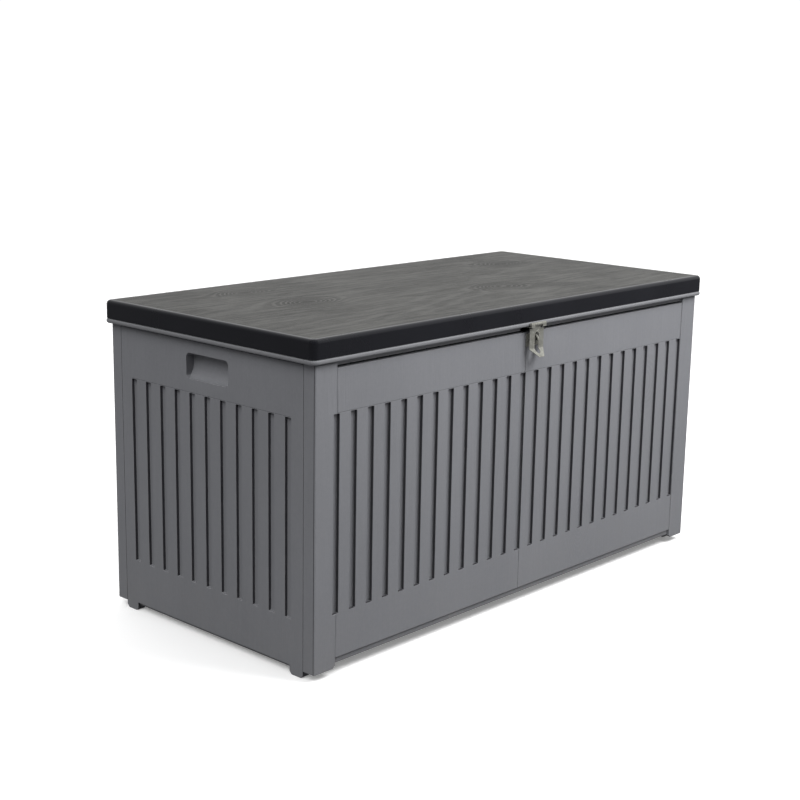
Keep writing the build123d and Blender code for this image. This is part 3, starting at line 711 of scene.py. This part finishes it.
plateEdges = {"angle": 30, "round": 0.0003, "segments": 2}
leafEdges = dict(plateEdges, round=0.0002, pressed={"below": 0.531, "rim": 0.0017, "depth": 0.0005})
roundedPiece("hasp_leaf", "haspLeaf", "hasp", haspZinc, leafEdges)
roundedPiece("hasp_bracket", "haspBracket", "lid", haspZinc, plateEdges)
roundedPiece("staple_plate", "staplePlate", "box", haspZinc, plateEdges)
for side in ("left", "right"):
    for leaf, body in (("body", "box"), ("lid", "lid")):
        nodeName = f"hinge_{side}_{leaf}_leaf"
        pieceName = f"hinge{leaf.title()}Leaf.{side}"
        roundedPiece(nodeName, pieceName, body, hingeZinc, plateEdges)
for nodeName, material in (
    ("hasp_pin", haspZinc),
    ("staple_loop", haspZinc),
    ("hinge_left_pin", hingeZinc),
    ("hinge_right_pin", hingeZinc),
):
    nodes[nodeName].data.materials.clear()
    nodes[nodeName].data.materials.append(material)
print("hasp and hinges rounded")


# cross-recess pan-head screws, one set for each group in the frame
screwShape = {
    "headRadius": 0.0039,
    "headHeight": 0.0022,
    "crownRadius": 0.0030,
    "recessReach": 0.0021,
    "recessHalf": 0.00045,
    "recessDepth": 0.0011,
    "recessTaper": 0.72,
    "crownRound": 0.0005,
    "shankRadius": 0.0019,
    "shankTaper": 0.8,
    "shankSides": 12,
    "shortestShank": 0.0005,
    "headBeyond": 0.003,  # anything further from the middle than this belongs to the head
    "turn": 37,  # degrees from one screw's cross to the next one's
    "firstTurn": 11,
    "sides": 24,
}
crownSlack = 0.00001  # faces this near the crown's height count as its top


# the crown's faces inside the reach of the cross
def topFaces(bm, shape):
    found = []
    for f in bm.faces:
        middle = f.calc_center_median()
        if middle.z > shape["headHeight"] - crownSlack and middle.xy.length < shape["recessReach"]:
            found.append(f)
    return found


def makeScrewMesh(shape, shankLength):
    bm = bmesh.new()
    bmesh.ops.create_cone(
        bm, cap_ends=True, segments=shape["sides"], radius1=shape["headRadius"], radius2=shape["crownRadius"],
        depth=shape["headHeight"], matrix=Matrix.Translation((0, 0, shape["headHeight"] / 2)),
    )
    crown = max(bm.faces, key=lambda f: f.calc_center_median().z)
    bmesh.ops.bevel(bm, geom=list(crown.edges), offset=shape["crownRound"], offset_type="OFFSET", segments=3,
                    profile=0.5, affect="EDGES", material=-1, clamp_overlap=True)
    crown = max(bm.faces, key=lambda f: (round(f.calc_center_median().z, 7), f.calc_area()))
    width = math.sqrt(crown.calc_area() / math.pi) - shape["recessReach"]
    bmesh.ops.inset_region(bm, faces=[crown], thickness=width, use_even_offset=True)
    half = shape["recessHalf"]
    for direction in (Vector((1, 0, 0)), Vector((0, 1, 0))):
        for side in (-1, 1):
            region = facesAndEdges(topFaces(bm, shape))
            bmesh.ops.bisect_plane(bm, geom=region, dist=0.0000005, plane_co=direction * side * half,
                                   plane_no=direction)
    cross = []
    for f in topFaces(bm, shape):
        middle = f.calc_center_median()
        if abs(middle.x) < half or abs(middle.y) < half:
            cross.append(f)
    sunk = bmesh.ops.extrude_face_region(bm, geom=cross)
    moved = [g for g in sunk["geom"] if isinstance(g, bmesh.types.BMVert)]
    bmesh.ops.delete(bm, geom=cross, context="FACES_ONLY")
    bmesh.ops.scale(bm, verts=moved, vec=(shape["recessTaper"], shape["recessTaper"], 1.0))
    bmesh.ops.translate(bm, verts=moved, vec=(0, 0, -shape["recessDepth"]))
    bmesh.ops.create_cone(
        bm, cap_ends=True, segments=shape["shankSides"], radius1=shape["shankRadius"] * shape["shankTaper"],
        radius2=shape["shankRadius"], depth=shankLength, matrix=Matrix.Translation((0, 0, -shankLength / 2)),
    )
    bmesh.ops.recalc_face_normals(bm, faces=bm.faces[:])
    return bm


# where each screw of a group sits: its head's seat and the way the head points
def screwPlaces(nodeName, headBeyond):
    bm = weldedMesh(nodeName)
    bm.verts.ensure_lookup_table()
    unseen = set(bm.verts)
    places = []
    while unseen:
        front = [unseen.pop()]
        island = list(front)
        while front:
            vert = front.pop()
            for link in vert.link_edges:
                other = link.other_vert(vert)
                if other in unseen:
                    unseen.discard(other)
                    front.append(other)
                    island.append(other)
        low = Vector([min(v.co[i] for v in island) for i in range(3)])
        high = Vector([max(v.co[i] for v in island) for i in range(3)])
        size = high - low
        pair = sorted(range(3), key=lambda i: abs(size[i] - size[(i + 1) % 3]))
        across = (pair[0], (pair[0] + 1) % 3)
        axis = 3 - across[0] - across[1]
        middle = (low + high) / 2
        wide = []
        for vert in island:
            away = vert.co - middle
            if math.hypot(away[across[0]], away[across[1]]) > headBeyond:
                wide.append(vert.co[axis])
        headMiddle = (min(wide) + max(wide)) / 2
        sign = 1.0 if headMiddle > middle[axis] else -1.0
        outward = Vector((0, 0, 0))
        outward[axis] = sign
        seat = middle.copy()
        seat[axis] = min(wide) if sign > 0 else max(wide)
        length = size[axis] - (max(wide) - min(wide))
        places.append((seat, outward, length))
    bm.free()
    return sorted(places, key=lambda p: tuple(round(c, 5) for c in p[0]))


def screwSet(nodeName, name, body, shape):
    whole = bmesh.new()
    for number, (seat, outward, length) in enumerate(screwPlaces(nodeName, shape["headBeyond"])):
        one = makeScrewMesh(shape, max(length, shape["shortestShank"]))
        spin = Matrix.Rotation(math.radians(shape["turn"] * number + shape["firstTurn"]), 4, "Z")
        place = Matrix.Translation(seat) @ outward.to_track_quat("Z", "Y").to_matrix().to_4x4() @ spin
        bmesh.ops.transform(one, matrix=place, verts=one.verts[:])
        held = bpy.data.meshes.new("heldScrew")
        one.to_mesh(held)
        one.free()
        whole.from_mesh(held)
        bpy.data.meshes.remove(held)
    count = len(whole.faces)
    piece = finishPiece(whole, name, body, screwZinc)
    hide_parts(nodeName)
    print(f"  {name}: {count} faces")


for nodeName, name, body in (
    ("staple_screws", "stapleScrews", "box"),
    ("hasp_screws", "haspScrews", "lid"),
    ("hinge_body_screws", "hingeBodyScrews", "box"),
    ("hinge_lid_screws", "hingeLidScrews", "lid"),
    ("lid_screws", "lidScrews", "lid"),
    ("corner_screws", "cornerScrews", "box"),
    ("seam_screws", "seamScrews", "box"),
    ("tray_screws", "trayScrews", "box"),
):
    screwSet(nodeName, name, body, screwShape)
print("screws made")


# floor, light and camera
floorLook = {
    "shader": {"Roughness": 0.9, "Specular IOR Level": 0.1, "Emission Strength": 0.22},
    "size": 60.0,
    "light": (0.94, 0.94, 0.94),
    "dark": (0.92, 0.92, 0.92),
    "bounce": (0.15, 0.15, 0.155),  # what the floor throws back on the box
}
bm = bmesh.new()
bmesh.ops.create_grid(bm, x_segments=8, y_segments=8, size=floorLook["size"])
floorMesh = bpy.data.meshes.new("studioFloor")
bm.to_mesh(floorMesh)
bm.free()
floor = bpy.data.objects.new("studioFloor", floorMesh)
scene.collection.objects.link(floor)
floorPaint, tree, shader, place = startMaterial("floorPaint", floorLook)
paper = noise(tree, place, -600, 0, 6.0, 4.0, 0.5)
pale = mixColour(tree, paper, -400, 0, floorLook["dark"], floorLook["light"])
bounce = addNode(tree, "ShaderNodeLightPath", -400, 300)
onlySeen = bounce.outputs["Is Camera Ray"]
tree.links.new(mixColour(tree, onlySeen, -200, 0, floorLook["bounce"], pale), shader.inputs["Base Color"])
black, white = (0.0, 0.0, 0.0), (1.0, 1.0, 1.0)
tree.links.new(mixColour(tree, onlySeen, -200, -300, black, white), shader.inputs["Emission Color"])
floorMesh.materials.append(floorPaint)

light = {
    "behind": (0.92, 0.38, 0.14),
    "dim": 0.15,
    "bright": 0.85,
    "seen": 1.05,
    "suns": (
        ("fill", 1.90, 45.0, (-0.92, -0.25, 1.15)),
        ("backFill", 0.80, 60.0, (0.5, 1.0, 0.9)),
        ("front", 0.30, 50.0, (0.10, -1.0, 1.0)),
    ),
    "keyPower": 45.0,
    "keySize": 1.2,
    "keyPlace": (0.50, -1.36, 1.92),
    "keyAim": (0.10, 0.0, 0.35),
}
world = bpy.data.worlds.new("studio")
scene.world = world
world.use_nodes = True
tree = world.node_tree
tree.nodes.clear()
# the room is bright behind the box and dimmer in front
ray = addNode(tree, "ShaderNodeTexCoord", -1000, 200)
behind = Vector(light["behind"]).normalized()
facing = addNode(tree, "ShaderNodeVectorMath", -800, 200, {1: behind}, operation="DOT_PRODUCT")
tree.links.new(ray.outputs["Generated"], facing.inputs[0])
level = remap(tree, facing.outputs["Value"], -600, 200, -0.3, 0.95, light["dim"], light["bright"])
glow = addNode(tree, "ShaderNodeBackground", -200, 100, {"Color": (1, 1, 1, 1)})
tree.links.new(level, glow.inputs["Strength"])
seen = addNode(tree, "ShaderNodeBackground", -200, -100, {"Color": (1, 1, 1, 1), "Strength": light["seen"]})
path = addNode(tree, "ShaderNodeLightPath", -400, 300)
choose = addNode(tree, "ShaderNodeMixShader", 0, 0)
tree.links.new(path.outputs["Is Camera Ray"], choose.inputs[0])
tree.links.new(glow.outputs[0], choose.inputs[1])
tree.links.new(seen.outputs[0], choose.inputs[2])
tree.links.new(choose.outputs[0], addNode(tree, "ShaderNodeOutputWorld", 200, 0).inputs[0])

for name, energy, spread, source in light["suns"]:
    sunData = bpy.data.lights.new(name, "SUN")
    sunData.energy = energy
    sunData.angle = math.radians(spread)
    sun = bpy.data.objects.new(name, sunData)
    sun.rotation_euler = Vector(source).to_track_quat("Z", "Y").to_euler()
    sun.visible_glossy = False
    scene.collection.objects.link(sun)
keyData = bpy.data.lights.new("softbox", "AREA")
keyData.energy = light["keyPower"]
keyData.size = light["keySize"]
key = bpy.data.objects.new("softbox", keyData)
key.location = light["keyPlace"]
key.rotation_euler = (key.location - Vector(light["keyAim"])).to_track_quat("Z", "Y").to_euler()
key.visible_glossy = False
scene.collection.objects.link(key)

shot = {
    "place": (-2.13985, -1.91299, 0.99769),
    "forward": (0.7164, 0.6620, -0.2204),
    "roll": 1.01,
    "lens": 66.92,
}
cameraData = bpy.data.cameras.new("camera")
cameraData.lens = shot["lens"]
cameraData.sensor_width = 36.0
cameraData.clip_end = 200.0
camera = bpy.data.objects.new("camera", cameraData)
forward = Vector(shot["forward"]).normalized()
right = forward.cross(Vector((0, 0, 1))).normalized()
up = right.cross(forward)
roll = math.radians(shot["roll"])
rolledRight = right * math.cos(roll) + up * math.sin(roll)
rolledUp = up * math.cos(roll) - right * math.sin(roll)
turn = Matrix((rolledRight, rolledUp, -forward)).transposed().to_4x4()
camera.matrix_world = Matrix.Translation(shot["place"]) @ turn
scene.collection.objects.link(camera)
scene.camera = camera
scene.view_settings.view_transform = "Standard"
print("studio set")

bpy.context.view_layer.update()
